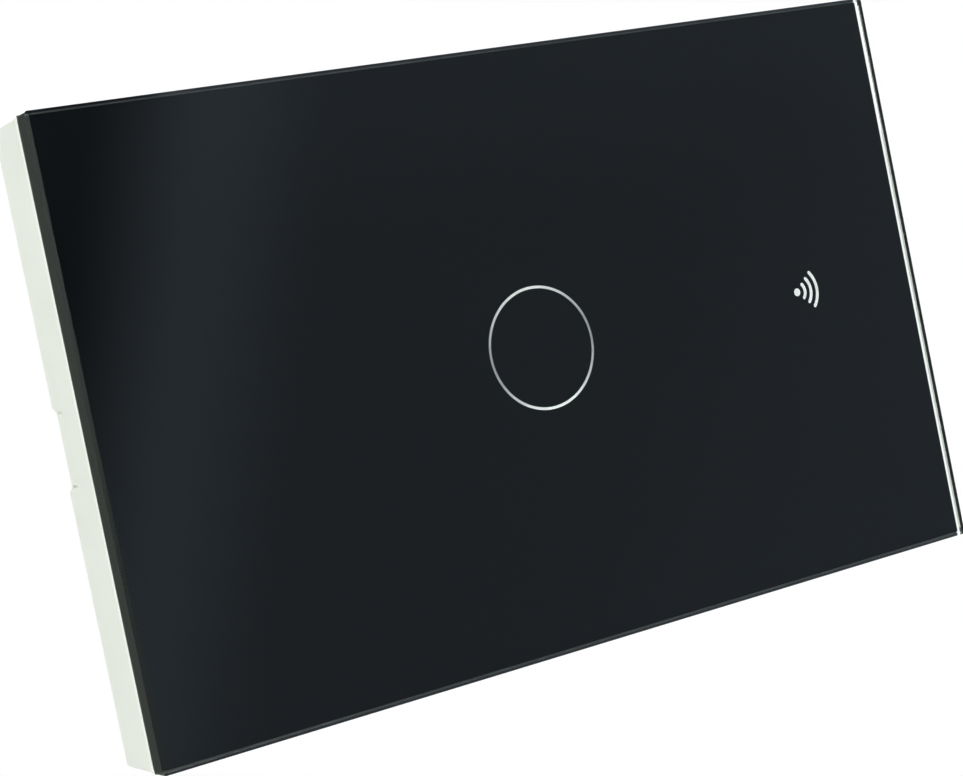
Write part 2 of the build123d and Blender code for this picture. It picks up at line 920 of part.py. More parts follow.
with BuildPart() as transformer_winding:
    with BuildSketch(behind(bobbin_base + core_yoke + lay_gap)):
        with Locations((transformer_x, transformer_z)):
            RectangleRounded(winding_width, winding_thick, winding_corner)
            Rectangle(core_leg + 2 * lay_gap, core_thick + 2 * lay_gap, mode=Mode.SUBTRACT)
    extrude(amount=2 * core_yoke + 2 * lay_gap - core_height)
transformer_winding.part.label = "transformer_winding"
export_step(transformer_winding.part, "parts/transformer_winding.step")

film_x = 8.5
film_z = 6.6
film_width = 13.0
film_thick = 5.0
film_height = 10.0

with BuildPart() as line_capacitor:
    with BuildSketch(behind(0)):
        with Locations((film_x, film_z)):
            RectangleRounded(film_width, film_thick, board_corner / 2)
    extrude(amount=-film_height)
line_capacitor.part.label = "line_capacitor"
export_step(line_capacitor.part, "parts/line_capacitor.step")

wide_can_x = 5.5
wide_can_z = 17.0
wide_can_radius = 4.0
wide_can_height = 11.5
slim_can_x = 14.4
slim_can_z = 17.5
slim_can_radius = 3.2
slim_can_height = 11.0
can_rounding = 0.5
cans = (
    (wide_can_x, wide_can_z, wide_can_radius, wide_can_height),
    (slim_can_x, slim_can_z, slim_can_radius, slim_can_height),
)

with BuildPart() as bulk_capacitors:
    for can_x, can_z, can_radius, can_height in cans:
        with BuildSketch(behind(0)):
            with Locations((can_x, can_z)):
                Circle(can_radius)
        extrude(amount=-can_height)
    chamfer(bulk_capacitors.faces().filter_by(Axis.Y).sort_by(Axis.Y)[-2:].edges(), can_rounding)
bulk_capacitors.part.label = "bulk_capacitors"
export_step(bulk_capacitors.part, "parts/bulk_capacitors.step")

fuse_z = -12.0
fuse_radius = 4.1
fuse_height = 7.5

with BuildPart() as fuse:
    with BuildSketch(behind(0)):
        with Locations((relay_x, fuse_z)):
            Circle(fuse_radius)
    extrude(amount=-fuse_height)
fuse.part.label = "fuse"
export_step(fuse.part, "parts/fuse.step")

varistor_z = 19.0
varistor_radius = 4.5
varistor_thick = 3.6

with BuildPart() as varistor:
    with BuildSketch(across(varistor_z)):
        with Locations((relay_x, power_board_back - varistor_radius)):
            Circle(varistor_radius)
    extrude(amount=varistor_thick / 2, both=True)
varistor.part.label = "varistor"
export_step(varistor.part, "parts/varistor.step")

rectifier_z = 25.0
rectifier_width = 7.0
rectifier_length = 4.8
rectifier_height = 2.6

with BuildPart() as rectifier:
    with BuildSketch(behind(0)):
        with Locations((relay_x, rectifier_z)):
            Rectangle(rectifier_width, rectifier_length)
    extrude(amount=-rectifier_height)
rectifier.part.label = "rectifier"
export_step(rectifier.part, "parts/rectifier.step")

with BuildPart() as supply_chip:
    with BuildSketch(behind(0)):
        with Locations((film_x, rectifier_z)):
            Rectangle(chip_length, chip_width)
    extrude(amount=-chip_height)
supply_chip.part.label = "supply_chip"
export_step(supply_chip.part, "parts/supply_chip.step")


# Relay: the armature tilts on the yoke's edge and brings its contact down on the fixed one

case_height = 12.3
case_wall = 0.6
relay_base_thick = 1.4
yoke_width = 6.8
yoke_thick = 0.9
yoke_gap = 0.5
foot_reach = 4.2
limb_top = 9.6
relay_core = 1.5
pole_gap = 0.5
spool_radius = 2.0
spool_flange = 0.6
spool_share = 0.235
coil_inset = 0.3
armature_width = 6.4
armature_thick = 0.8
armature_reach = 3.4
armature_gap = 0.05
armature_swing = 4
leaf_width = 3.0
leaf_thick = 0.25
leaf_lift = 0.25
contact_radius = 1.2
contact_height = 0.7
contact_spacing = 2.2
fixed_strip = 0.6
fixed_gap = 0.9
case_inside = case_length - 2 * case_wall
flange_radius = spool_share * case_inside
coil_radius = flange_radius - coil_inset
limb_outer = yoke_gap - case_inside / 2
hinge_z = limb_outer + yoke_thick
core_z = hinge_z + yoke_gap + flange_radius
foot_end = core_z + foot_reach
armature_end = core_z + armature_reach
fixed_post_z = case_inside / 2 - fixed_gap
contact_z = fixed_post_z - contact_spacing
leaf_end = contact_z + contact_radius
leaf_start = armature_end - armature_thick
pole_top = limb_top - pole_gap + armature_gap
armature_bottom = limb_top + armature_gap
leaf_bottom = armature_bottom + leaf_lift
moving_contact_bottom = leaf_bottom - contact_height
contact_travel = (contact_z + contact_radius - hinge_z) * math.tan(math.radians(armature_swing))
fixed_contact_top = moving_contact_bottom - contact_travel - armature_gap
relay_centre = (relay_x, relay_z)


def relay_place(z):
    return (relay_x, relay_z + z)


with BuildPart() as relay_case:
    with BuildSketch(behind(0)):
        with Locations(relay_centre):
            RectangleRounded(case_width, case_length, case_wall)
    extrude(amount=-case_height)
    with BuildSketch(behind(0)):
        with Locations(relay_centre):
            Rectangle(case_width - 2 * case_wall, case_length - 2 * case_wall)
    extrude(amount=case_wall - case_height, mode=Mode.SUBTRACT)
relay_case.part.label = "relay_case"
export_step(relay_case.part, "parts/relay_case.step")

with BuildPart() as relay_base:
    with BuildSketch(behind(0)):
        with Locations(relay_centre):
            Rectangle(
                case_width - 2 * (case_wall + lay_gap), case_length - 2 * (case_wall + lay_gap)
            )
    extrude(amount=-relay_base_thick)
    with BuildSketch(behind(0)):
        with Locations(*relay_pin_places):
            Circle(relay_pin)
    extrude(amount=power_board_thick + pin_proud)
relay_base.part.label = "relay_base"
export_step(relay_base.part, "parts/relay_base.step")

with BuildPart() as relay_yoke:
    with BuildSketch(behind(relay_base_thick)):
        with Locations(relay_place((limb_outer + foot_end) / 2)):
            Rectangle(yoke_width, foot_end - limb_outer)
    extrude(amount=-yoke_thick)
    with BuildSketch(behind(relay_base_thick)):
        with Locations(relay_place(limb_outer + yoke_thick / 2)):
            Rectangle(yoke_width, yoke_thick)
    extrude(amount=relay_base_thick - limb_top)
    with BuildSketch(behind(relay_base_thick)):
        with Locations(relay_place(core_z)):
            Circle(relay_core)
    extrude(amount=relay_base_thick - pole_top)
relay_yoke.part.label = "relay_yoke"
export_step(relay_yoke.part, "parts/relay_yoke.step")

spool_bottom = relay_base_thick + yoke_thick
spool_top = pole_top - case_wall

with BuildPart() as relay_bobbin:
    with BuildSketch(behind(spool_bottom)):
        with Locations(relay_place(core_z)):
            Circle(spool_radius)
    extrude(amount=spool_bottom - spool_top)
    for level in (spool_bottom, spool_top - spool_flange):
        with BuildSketch(behind(level)):
            with Locations(relay_place(core_z)):
                Circle(flange_radius)
        extrude(amount=-spool_flange)
    with BuildSketch(behind(spool_bottom)):
        with Locations(relay_place(core_z)):
            Circle(relay_core + thread_gap)
    extrude(amount=spool_bottom - spool_top, mode=Mode.SUBTRACT)
relay_bobbin.part.label = "relay_bobbin"
export_step(relay_bobbin.part, "parts/relay_bobbin.step")

with BuildPart() as relay_coil:
    with BuildSketch(behind(spool_bottom + spool_flange)):
        with Locations(relay_place(core_z)):
            Circle(coil_radius)
            Circle(spool_radius, mode=Mode.SUBTRACT)
    extrude(amount=spool_bottom + 2 * spool_flange - spool_top)
relay_coil.part.label = "relay_coil"
export_step(relay_coil.part, "parts/relay_coil.step")

with BuildPart() as relay_fixed_contact:
    with BuildSketch(behind(relay_base_thick)):
        with Locations(relay_place(fixed_post_z)):
            Rectangle(leaf_width, fixed_strip)
    extrude(amount=relay_base_thick + contact_height - fixed_contact_top)
    with BuildSketch(behind(fixed_contact_top - contact_height)):
        with Locations(relay_place((contact_z - contact_radius + fixed_post_z + fixed_strip / 2) / 2)):
            Rectangle(leaf_width, fixed_post_z + fixed_strip / 2 - contact_z + contact_radius)
    extrude(amount=fixed_strip)
    with BuildSketch(behind(fixed_contact_top - contact_height)):
        with Locations(relay_place(contact_z)):
            Circle(contact_radius)
    extrude(amount=-contact_height)
relay_fixed_contact.part.label = "relay_fixed_contact"
export_step(relay_fixed_contact.part, "parts/relay_fixed_contact.step")

with BuildPart() as relay_armature:
    with BuildSketch(behind(armature_bottom)):
        with Locations(relay_place((limb_outer + armature_end) / 2)):
            Rectangle(armature_width, armature_end - limb_outer)
    extrude(amount=-armature_thick)
    with BuildSketch(behind(leaf_bottom)):
        with Locations(relay_place((leaf_start + leaf_end) / 2)):
            Rectangle(leaf_width, leaf_end - leaf_start)
    extrude(amount=-leaf_thick)
    with BuildSketch(behind(moving_contact_bottom)):
        with Locations(relay_place(contact_z)):
            Circle(contact_radius)
    extrude(amount=-contact_height)
relay_armature.part.label = "relay_armature"
export_step(relay_armature.part, "parts/relay_armature.step")
print(
    "relay armature: hinge at x", relay_x,
    "y", round(armature_bottom - power_board_back, 3),
    "z", round(relay_z + hinge_z, 3),
)


# Terminals: a screw that turns on the fixed bar and draws its cage up, so the wire is clamped

block_width = 30.4
block_back = 12.8
block_low = -29.2
block_high = -18.8
cell_width = 7.2
cell_length = 6.8
cell_bottom = 0.3
cell_top = 10.0
head_bore = 2.9
head_lip = 0.3
head_lip_bore = 2.3
contact_bar_thick = 1.0
contact_bar_width = 4.2
contact_bar_bottom = 4.8
contact_bar_reach = 2.6
channel_gap = 0.1
wire_slot = 3.8
cage_width = 6.4
cage_length = 6.0
cage_side = 0.8
cage_bridge = 1.2
cage_floor = 0.9
cage_bottom = 0.5
cage_travel = 2.5
screw_radius = 1.45
screw_head = 2.7
screw_head_height = 2.2
screw_tip_gap = 0.05
screw_slot = 0.9
screw_slot_depth = 1.2
screw_cross_share = 1.2
tip = contact_bar_bottom + contact_bar_thick + screw_tip_gap
tail_low = terminal_height + cell_length / 2
tail_high = terminal_height + bar_tail_height + bar_tail_thick / 2 + channel_gap
bar_front = terminal_height - contact_bar_reach
bar_rear = terminal_height + bar_tail_height + bar_tail_thick / 2
cage_top = contact_bar_bottom + contact_bar_thick + cell_bottom + cage_bridge
head_seat = cage_top + cage_travel + slip_gap

with BuildPart() as terminal_block:
    with BuildSketch(behind(0)):
        with Locations((0, (block_low + block_high) / 2)):
            Rectangle(block_width, block_high - block_low)
    extrude(amount=-block_back)
    with BuildSketch(behind(0)):
        with Locations(*terminal_places):
            Rectangle(cell_width, cell_length)
    extrude(amount=-cell_top, mode=Mode.SUBTRACT)
    with BuildSketch(behind(cell_top)):
        with Locations(*terminal_places):
            Circle(head_bore)
    extrude(amount=cell_top + head_lip - block_back, mode=Mode.SUBTRACT)
    with BuildSketch(behind(block_back)):
        with Locations(*terminal_places):
            Circle(head_lip_bore)
    extrude(amount=head_lip, mode=Mode.SUBTRACT)

    # channels for the bars' tails, and a window for each wire
    with BuildSketch(behind(0)):
        with Locations(*[(x, (tail_low + tail_high) / 2) for x, z in terminal_places]):
            Rectangle(contact_bar_width + 2 * channel_gap, tail_high - tail_low)
    extrude(amount=-contact_bar_bottom - contact_bar_thick - channel_gap, mode=Mode.SUBTRACT)
    with BuildSketch(across(block_low)):
        with Locations(
            *[(x, power_board_back - contact_bar_bottom + wire_slot / 2) for x, z in terminal_places]
        ):
            Rectangle(wire_slot, wire_slot)
    extrude(amount=block_low - terminal_height + cell_length / 2, mode=Mode.SUBTRACT)
terminal_block.part.label = "terminal_block"
export_step(terminal_block.part, "parts/terminal_block.step")

with BuildPart() as terminal_bars:
    with BuildSketch(behind(contact_bar_bottom)):
        with Locations(*[(x, (bar_front + bar_rear) / 2) for x, z in terminal_places]):
            Rectangle(contact_bar_width, bar_rear - bar_front)
    extrude(amount=-contact_bar_thick)
    with BuildSketch(behind(0)):
        with Locations(*tail_places):
            Rectangle(contact_bar_width, bar_tail_thick)
    extrude(amount=-contact_bar_bottom)
    with BuildSketch(behind(0)):
        with Locations(*tail_places):
            Rectangle(bar_tail_width, bar_tail_thick)
    extrude(amount=power_board_thick + pin_proud)
terminal_bars.part.label = "terminal_bars"
export_step(terminal_bars.part, "parts/terminal_bars.step")

for number, place in enumerate(terminal_places, 1):
    with BuildPart() as terminal_screw:
        with BuildSketch(behind(tip)):
            with Locations(place):
                Circle(screw_radius)
        extrude(amount=tip - head_seat)
        with BuildSketch(behind(head_seat)):
            with Locations(place):
                Circle(screw_head)
        extrude(amount=-screw_head_height)
        with BuildSketch(behind(head_seat + screw_head_height)):
            with Locations(place):
                Rectangle(2 * screw_head, screw_slot)
                Rectangle(screw_slot, screw_cross_share * screw_head)
        extrude(amount=screw_slot_depth, mode=Mode.SUBTRACT)
    terminal_screw.part.label = f"terminal_screw_{number}"
    export_step(terminal_screw.part, f"parts/terminal_screw_{number}.step")

    with BuildPart() as terminal_cage:
        with BuildSketch(behind(cage_bottom)):
            with Locations(place):
                Rectangle(cage_width, cage_length)
        extrude(amount=cage_bottom - cage_top)
        with BuildSketch(behind(cage_bottom + cage_floor)):
            with Locations(place):
                Rectangle(cage_width - 2 * cage_side, cage_length)
        extrude(amount=cage_bottom + cage_floor + cage_bridge - cage_top, mode=Mode.SUBTRACT)
        with BuildSketch(behind(cage_top)):
            with Locations(place):
                Circle(screw_radius + thread_gap)
        extrude(amount=cage_bridge, mode=Mode.SUBTRACT)
    terminal_cage.part.label = f"terminal_cage_{number}"
    export_step(terminal_cage.part, f"parts/terminal_cage_{number}.step")
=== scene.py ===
import bpy
import bmesh
from math import cos, pi, radians, sin
from mathutils import Matrix, Vector


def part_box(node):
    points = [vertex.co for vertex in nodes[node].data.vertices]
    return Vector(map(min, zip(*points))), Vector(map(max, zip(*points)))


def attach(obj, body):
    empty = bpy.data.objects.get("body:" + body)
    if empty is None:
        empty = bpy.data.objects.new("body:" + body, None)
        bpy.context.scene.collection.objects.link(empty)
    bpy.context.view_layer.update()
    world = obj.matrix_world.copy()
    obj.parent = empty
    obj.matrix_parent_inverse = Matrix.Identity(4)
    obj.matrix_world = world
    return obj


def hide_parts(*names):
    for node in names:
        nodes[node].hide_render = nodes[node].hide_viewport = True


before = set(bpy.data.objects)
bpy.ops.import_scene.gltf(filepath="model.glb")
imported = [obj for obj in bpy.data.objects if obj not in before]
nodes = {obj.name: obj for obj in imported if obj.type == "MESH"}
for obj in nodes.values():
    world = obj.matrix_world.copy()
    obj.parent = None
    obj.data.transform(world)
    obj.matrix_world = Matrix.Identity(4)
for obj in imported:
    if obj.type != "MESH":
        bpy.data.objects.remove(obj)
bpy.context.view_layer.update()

mm = 0.001
weld = 1e-7
noiseSpan = (0.3, 0.7)  # where nearly all values of a noise lie


def newMaterial(name):
    material = bpy.data.materials.new(name)
    material.use_nodes = True
    tree = material.node_tree
    tree.nodes.clear()
    output = tree.nodes.new("ShaderNodeOutputMaterial")
    shader = tree.nodes.new("ShaderNodeBsdfPrincipled")
    tree.links.new(shader.outputs["BSDF"], output.inputs["Surface"])
    return material, tree, shader


def newGroup(name, inputs, outputs):
    kinds = {"Vector": "NodeSocketVector", "Color": "NodeSocketColor"}
    group = bpy.data.node_groups.new(name, "ShaderNodeTree")
    for direction, socketNames in (("INPUT", inputs), ("OUTPUT", outputs)):
        for socketName in socketNames:
            kind = kinds.get(socketName, "NodeSocketFloat")
            group.interface.new_socket(name=socketName, in_out=direction, socket_type=kind)
    return group, group.nodes.new("NodeGroupInput"), group.nodes.new("NodeGroupOutput")


def setOrLink(tree, socket, value):
    if isinstance(value, (int, float, tuple)):
        socket.default_value = value
    else:
        tree.links.new(value, socket)


def addNoise(tree, vector, scale, detail, roughness=0.5):
    noise = tree.nodes.new("ShaderNodeTexNoise")
    for socketName, value in (
        ("Detail", detail), ("Roughness", roughness), ("Scale", scale), ("Vector", vector)
    ):
        setOrLink(tree, noise.inputs[socketName], value)
    return noise.outputs["Fac"]


def addMath(tree, operation, *values):
    node = tree.nodes.new("ShaderNodeMath")
    node.operation = operation
    for socket, value in zip(node.inputs, values):
        setOrLink(tree, socket, value)
    return node.outputs[0]


def addRange(tree, value, fromLow, fromHigh, toLow, toHigh, smooth=False):
    node = tree.nodes.new("ShaderNodeMapRange")
    node.interpolation_type = "SMOOTHSTEP" if smooth else "LINEAR"
    for socketName, limit in zip(
        ("Value", "From Min", "From Max", "To Min", "To Max"), (value, fromLow, fromHigh, toLow, toHigh)
    ):
        setOrLink(tree, node.inputs[socketName], limit)
    return node.outputs["Result"]


def addColourMix(tree, factor, first, second, blend="MIX"):
    node = tree.nodes.new("ShaderNodeMix")
    node.data_type = "RGBA"
    node.blend_type = blend
    colourInputs = [s for s in node.inputs if s.type == "RGBA"]
    for socket, value in ((node.inputs["Factor"], factor), *zip(colourInputs, (first, second))):
        setOrLink(tree, socket, value)
    return [s for s in node.outputs if s.type == "RGBA"][0]


def addShaded(tree, colour, shade):
    # the colour times a grey
    grey = tree.nodes.new("ShaderNodeCombineColor")
    for socket in grey.inputs:
        tree.links.new(shade, socket)
    return addColourMix(tree, 1.0, colour, grey.outputs["Color"], "MULTIPLY")


def objectPlace(tree, stretch=(1, 1, 1)):
    coordinates = tree.nodes.new("ShaderNodeTexCoord")
    mapping = tree.nodes.new("ShaderNodeMapping")
    mapping.inputs["Scale"].default_value = stretch
    tree.links.new(coordinates.outputs["Object"], mapping.inputs["Vector"])
    return mapping.outputs["Vector"]


def addBump(tree, shader, height, distance):
    bump = tree.nodes.new("ShaderNodeBump")
    bump.inputs["Distance"].default_value = distance
    tree.links.new(height, bump.inputs["Height"])
    tree.links.new(bump.outputs["Normal"], shader.inputs["Normal"])


def addClouding(tree, shader, place, look):
    # uneven gloss
    cloud = addNoise(tree, place, *look["cloud"])
    tree.links.new(addRange(tree, cloud, *noiseSpan, *look["roughness"]), shader.inputs["Roughness"])
    return cloud


skinLooks = {
    # noises as their scale and detail, the grain as its detail and roughness
    # fine eroded skin of a mould, slow mottling of the colour, and a little handling sheen
    "mouldedSkin": {"grain": (2.0, 0.5), "mottle": (55.0, 4.0), "sheen": (260.0, 2.0), "sheenReach": 0.035},
    # lines of drawn or rolled metal along the stretched axis, with faint clouding
    "drawnMetal": {"grain": (3.0, 0.6), "mottle": (380.0, 3.0), "sheen": None, "sheenReach": 0.07},
}


def makeSkinGroup(name):
    look = skinLooks[name]
    group, given, result = newGroup(
        name, ("Vector", "Color", "Grain", "Mottle", "Gloss"), ("Color", "Roughness", "Height")
    )
    vector = given.outputs["Vector"]
    grain = addNoise(group, vector, given.outputs["Grain"], *look["grain"])
    mottle = addNoise(group, vector, *look["mottle"])
    sheen = addNoise(group, vector, *look["sheen"]) if look["sheen"] else grain
    darker = addMath(group, "SUBTRACT", 1.0, given.outputs["Mottle"])
    shade = addRange(group, mottle, *noiseSpan, darker, 1.0)
    group.links.new(addShaded(group, given.outputs["Color"], shade), result.inputs["Color"])
    rough = addRange(group, sheen, *noiseSpan, -look["sheenReach"], look["sheenReach"])
    group.links.new(addMath(group, "ADD", given.outputs["Gloss"], rough), result.inputs["Roughness"])
    group.links.new(grain, result.inputs["Height"])
    return group


mouldedSkin = makeSkinGroup("mouldedSkin")
drawnMetal = makeSkinGroup("drawnMetal")


def addSkin(tree, shader, group, look, stretch=(1, 1, 1)):
    skin = tree.nodes.new("ShaderNodeGroup")
    skin.node_tree = group
    tree.links.new(objectPlace(tree, stretch), skin.inputs["Vector"])
    skin.inputs["Color"].default_value = (*look["colour"], 1)
    for socketName in ("Grain", "Mottle", "Gloss"):
        skin.inputs[socketName].default_value = look[socketName.lower()]
    tree.links.new(skin.outputs["Color"], shader.inputs["Base Color"])
    tree.links.new(skin.outputs["Roughness"], shader.inputs["Roughness"])
    return skin


def mouldedPlastic(name, look):
    material, tree, shader = newMaterial(name)
    skin = addSkin(tree, shader, mouldedSkin, look)
    addBump(tree, shader, skin.outputs["Height"], look["relief"])
    return material


def rolledMetal(name, look):
    material, tree, shader = newMaterial(name)
    shader.inputs["Metallic"].default_value = 1.0
    skin = addSkin(tree, shader, drawnMetal, look, look["stretch"])
    addBump(tree, shader, skin.outputs["Height"], look["relief"])
    return material


print("shared effects made")


def dress(material, nodeNames):
    for nodeName in nodeNames:
        for materialSlot in nodes[nodeName].material_slots:
            materialSlot.material = material


def newObject(name, mesh, material):
    mesh.normal_update()
    data = bpy.data.meshes.new(name)
    mesh.to_mesh(data)
    mesh.free()
    data.materials.append(material)
    made = bpy.data.objects.new(name, data)
    bpy.context.scene.collection.objects.link(made)
    return made


def newPiece(name, mesh, material, replaced=None):
    # every piece of this scene belongs to the front panel
    piece = newObject(name, mesh, material)
    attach(piece, "front_panel")
    if replaced:
        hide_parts(replaced)


def addBlock(mesh, low, high):
    # a block from corner to corner, whose edges its maker eases
    corners = bmesh.ops.create_cube(mesh, size=1.0)["verts"]
    bmesh.ops.scale(mesh, vec=high - low, verts=corners)
    bmesh.ops.translate(mesh, vec=(high + low) / 2, verts=corners)
    return [e for e in mesh.edges if e.verts[0] in corners]


def easeEdges(mesh, edges, radius, segments):
    bmesh.ops.bevel(
        mesh, geom=edges, offset=radius, offset_type="OFFSET", affect="EDGES",
        segments=segments, profile=0.5, material=-1,
    )


def closeSmooth(mesh):
    bmesh.ops.remove_doubles(mesh, verts=mesh.verts, dist=weld)
    bmesh.ops.recalc_face_normals(mesh, faces=mesh.faces)
    for face in mesh.faces:
        face.smooth = True


glassLook = {
    "tint": (0.95, 0.985, 0.965),
    "index": 1.5,
    "wallTilt": (0.05, 0.2),
    "wear": (900.0, 3.0),
    "wallRoughness": (0.09, 0.19),
    "smear": (45.0, 4.0),
    "smearSpan": (0.35, 0.75),
    "faceRoughness": (0.012, 0.036),
    "grit": (2600.0, 2.0),
    "gritRelief": 0.004 * mm,
}


def makeGlass():
    # polished faces, and walls with the fine lines of the polishing wheel between the two bevels
    look = glassLook
    material, tree, shader = newMaterial("clearGlass")
    shader.inputs["Base Color"].default_value = (*look["tint"], 1)
    shader.inputs["Transmission Weight"].default_value = 1.0
    shader.inputs["IOR"].default_value = look["index"]
    place = objectPlace(tree)
    geometry = tree.nodes.new("ShaderNodeNewGeometry")
    normal = tree.nodes.new("ShaderNodeSeparateXYZ")
    tree.links.new(geometry.outputs["True Normal"], normal.inputs[0])
    flatness = addMath(tree, "ABSOLUTE", normal.outputs["Y"])
    wall = addRange(tree, flatness, *look["wallTilt"], 1.0, 0.0)
    ground = addRange(tree, addNoise(tree, place, *look["wear"]), *noiseSpan, *look["wallRoughness"])
    polished = addRange(
        tree, addNoise(tree, place, *look["smear"]), *look["smearSpan"], *look["faceRoughness"]
    )
    roughness = tree.nodes.new("ShaderNodeMix")
    tree.links.new(wall, roughness.inputs["Factor"])
    tree.links.new(polished, roughness.inputs["A"])
    tree.links.new(ground, roughness.inputs["B"])
    tree.links.new(roughness.outputs["Result"], shader.inputs["Roughness"])
    grit = addNoise(tree, place, *look["grit"])
    addBump(tree, shader, addMath(tree, "MULTIPLY", grit, wall), look["gritRelief"])
    return material


dress(makeGlass(), ["glass_plate"])
print("glass dressed")


printLook = {
    "sunk": 0.02 * mm,
    "colour": (0.0024, 0.0033, 0.0039),
    "grain": 1500.0,
    "mottle": 0.1,
    "gloss": 0.5,
    "cornerSegments": 4,
    "cornerRadius": 0.12 * mm,
}


def makeBlackPrint():
    look = printLook
    material, tree, shader = newMaterial("blackInk")
    addSkin(tree, shader, mouldedSkin, look)
    shader.inputs["Specular IOR Level"].default_value = 0.0  # wetted to the glass, so no gloss of its own
    low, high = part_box("back_print")
    low = Vector((low.x, low.y - look["sunk"], low.z))
    mesh = bmesh.new()
    edges = addBlock(mesh, low, high)
    upright = [e for e in edges if abs(e.verts[0].co.y - e.verts[1].co.y) > (high.y - low.y) / 2]
    easeEdges(mesh, upright, look["cornerRadius"], look["cornerSegments"])
    newPiece("blackPrint", mesh, material, "back_print")


def crownedProfile(width, base, crown, points):
    # across the line: from one foot over the crown to the other, as (offset, height)
    steps = [i / (points - 1) for i in range(points)]
    dome = [(-width / 2 * cos(pi * s), base + crown * sin(pi * s)) for s in steps]
    return [(-width / 2, 0.0), *dome, (width / 2, 0.0)]


ringLook = {
    "radius": 7.29 * mm,
    "line": 0.33 * mm,
    "base": 0.01 * mm,
    "crown": 0.07 * mm,
    "profilePoints": 9,
    "turnSteps": 180,
    "offset": -0.24 * mm,
    "highlightAngle": radians(6),
    "highlightTopShare": 0.87,
    "highlightBottomShare": 0.13,
    "sideShadeColour": (0.28, 0.295, 0.31),
    "endHighlightColour": (0.95, 0.97, 0.96),
    "glow": 0.31,
    "cloud": (60.0, 3.0),
    "roughness": (0.3, 0.42),
    "relief": 0.003 * mm,
}


def makeRingPrint():
    # pale silver ink with a painted highlight, brighter at two opposite ends and darker at the sides between
    # them, and set a little towards the pry notch
    look = ringLook
    material, tree, shader = newMaterial("silverRing")
    place = objectPlace(tree, (1 / look["radius"],) * 3)
    parts = tree.nodes.new("ShaderNodeSeparateXYZ")
    tree.links.new(place, parts.inputs[0])
    # the painted highlight's axis, turned a little from X, with one end brighter than the other
    turned = addMath(
        tree, "ADD",
        addMath(tree, "MULTIPLY", parts.outputs["X"], cos(look["highlightAngle"])),
        addMath(tree, "MULTIPLY", parts.outputs["Z"], sin(look["highlightAngle"])),
    )
    highlightSkew = addMath(tree, "MULTIPLY_ADD", turned, look["highlightBottomShare"], look["highlightTopShare"])
    across = addMath(tree, "MULTIPLY", addMath(tree, "MULTIPLY", turned, turned), highlightSkew)
    # the ink colour carries the painted highlight at the ends and painted shade at the sides
    ink = addColourMix(tree, across, (*look["sideShadeColour"], 1), (*look["endHighlightColour"], 1))
    tree.links.new(ink, shader.inputs["Base Color"])
    # the glow takes the same colour, so it carries the painted highlight too
    tree.links.new(ink, shader.inputs["Emission Color"])
    shader.inputs["Emission Strength"].default_value = look["glow"]  # lit from behind through the cup
    cloud = addClouding(tree, shader, place, look)
    addBump(tree, shader, cloud, look["relief"])
    level = -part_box("back_print")[0].y + printLook["sunk"]
    mesh = bmesh.new()
    profile = crownedProfile(look["line"], look["base"], look["crown"], look["profilePoints"])
    points = [mesh.verts.new((look["radius"] + r, -level - h, look["offset"])) for r, h in profile]
    edges = [mesh.edges.new(pair) for pair in zip(points, points[1:] + points[:1])]
    bmesh.ops.spin(
        mesh, geom=points + edges, cent=(0, 0, look["offset"]), axis=(0, 1, 0), angle=2 * pi,
        steps=look["turnSteps"], use_merge=True,
    )
    closeSmooth(mesh)
    newPiece("ringPrint", mesh, material, "ring_print")


iconLook = {
    "dot": 0.5 * mm,
    "arcs": (1.3 * mm, 2.28 * mm, 3.29 * mm),
    "line": 0.45 * mm,
    "offset": Vector((0.05 * mm, 0, -0.37 * mm)),
    "halfAngle": radians(41),
    "base": 0.01 * mm,
    "crown": 0.03 * mm,
    "profilePoints": 7,
    "dotPoints": 13,
    "arcSteps": 24,
    "endSteps": 8,
    "dotSteps": 32,
    "colour": (0.94, 0.96, 0.95),
    "grain": 4000.0,
    "mottle": 0.04,
    "gloss": 0.45,
    "glow": 0.22,
}


def makeIconPrint():
    # a dot and three arcs with round ends, in white ink
    look = iconLook
    material, tree, shader = newMaterial("whiteInk")
    skin = addSkin(tree, shader, mouldedSkin, look)
    tree.links.new(skin.outputs["Color"], shader.inputs["Emission Color"])
    shader.inputs["Emission Strength"].default_value = look["glow"]  # lit from behind by the light bar
    level = -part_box("back_print")[0].y + printLook["sunk"]
    middle = Vector((0, -level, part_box("icon_print")[0].z + look["dot"])) + look["offset"]
    mesh = bmesh.new()

    def spunStroke(profile, pivot, angle, steps, start):
        points = [mesh.verts.new(start(r, h)) for r, h in profile]
        edges = [mesh.edges.new(pair) for pair in zip(points, points[1:])]
        bmesh.ops.spin(
            mesh, geom=points + edges, cent=pivot, axis=(0, 1, 0), angle=angle, steps=steps
        )

    full = crownedProfile(look["line"], look["base"], look["crown"], look["profilePoints"])
    for radius in look["arcs"]:
        for side in (-1, 1):
            turn = side * look["halfAngle"]
            outward = Vector((sin(turn), 0, cos(turn)))
            if side == -1:
                spunStroke(
                    full, middle, 2 * look["halfAngle"], look["arcSteps"],
                    lambda r, h: middle + outward * (radius + r) + Vector((0, -h, 0)),
                )
            pivot = middle + outward * radius
            spunStroke(
                full[len(full) // 2:], pivot, side * pi, look["endSteps"],
                lambda r, h: pivot + outward * r + Vector((0, -h, 0)),
            )
    dot = crownedProfile(2 * look["dot"], look["base"], look["crown"], look["dotPoints"])
    spunStroke(
        dot[len(dot) // 2:], middle, 2 * pi, look["dotSteps"], lambda r, h: middle + Vector((r, -h, 0))
    )
    closeSmooth(mesh)
    newPiece("iconPrint", mesh, material, "icon_print")


makeBlackPrint()
makeRingPrint()
makeIconPrint()
print("prints made")


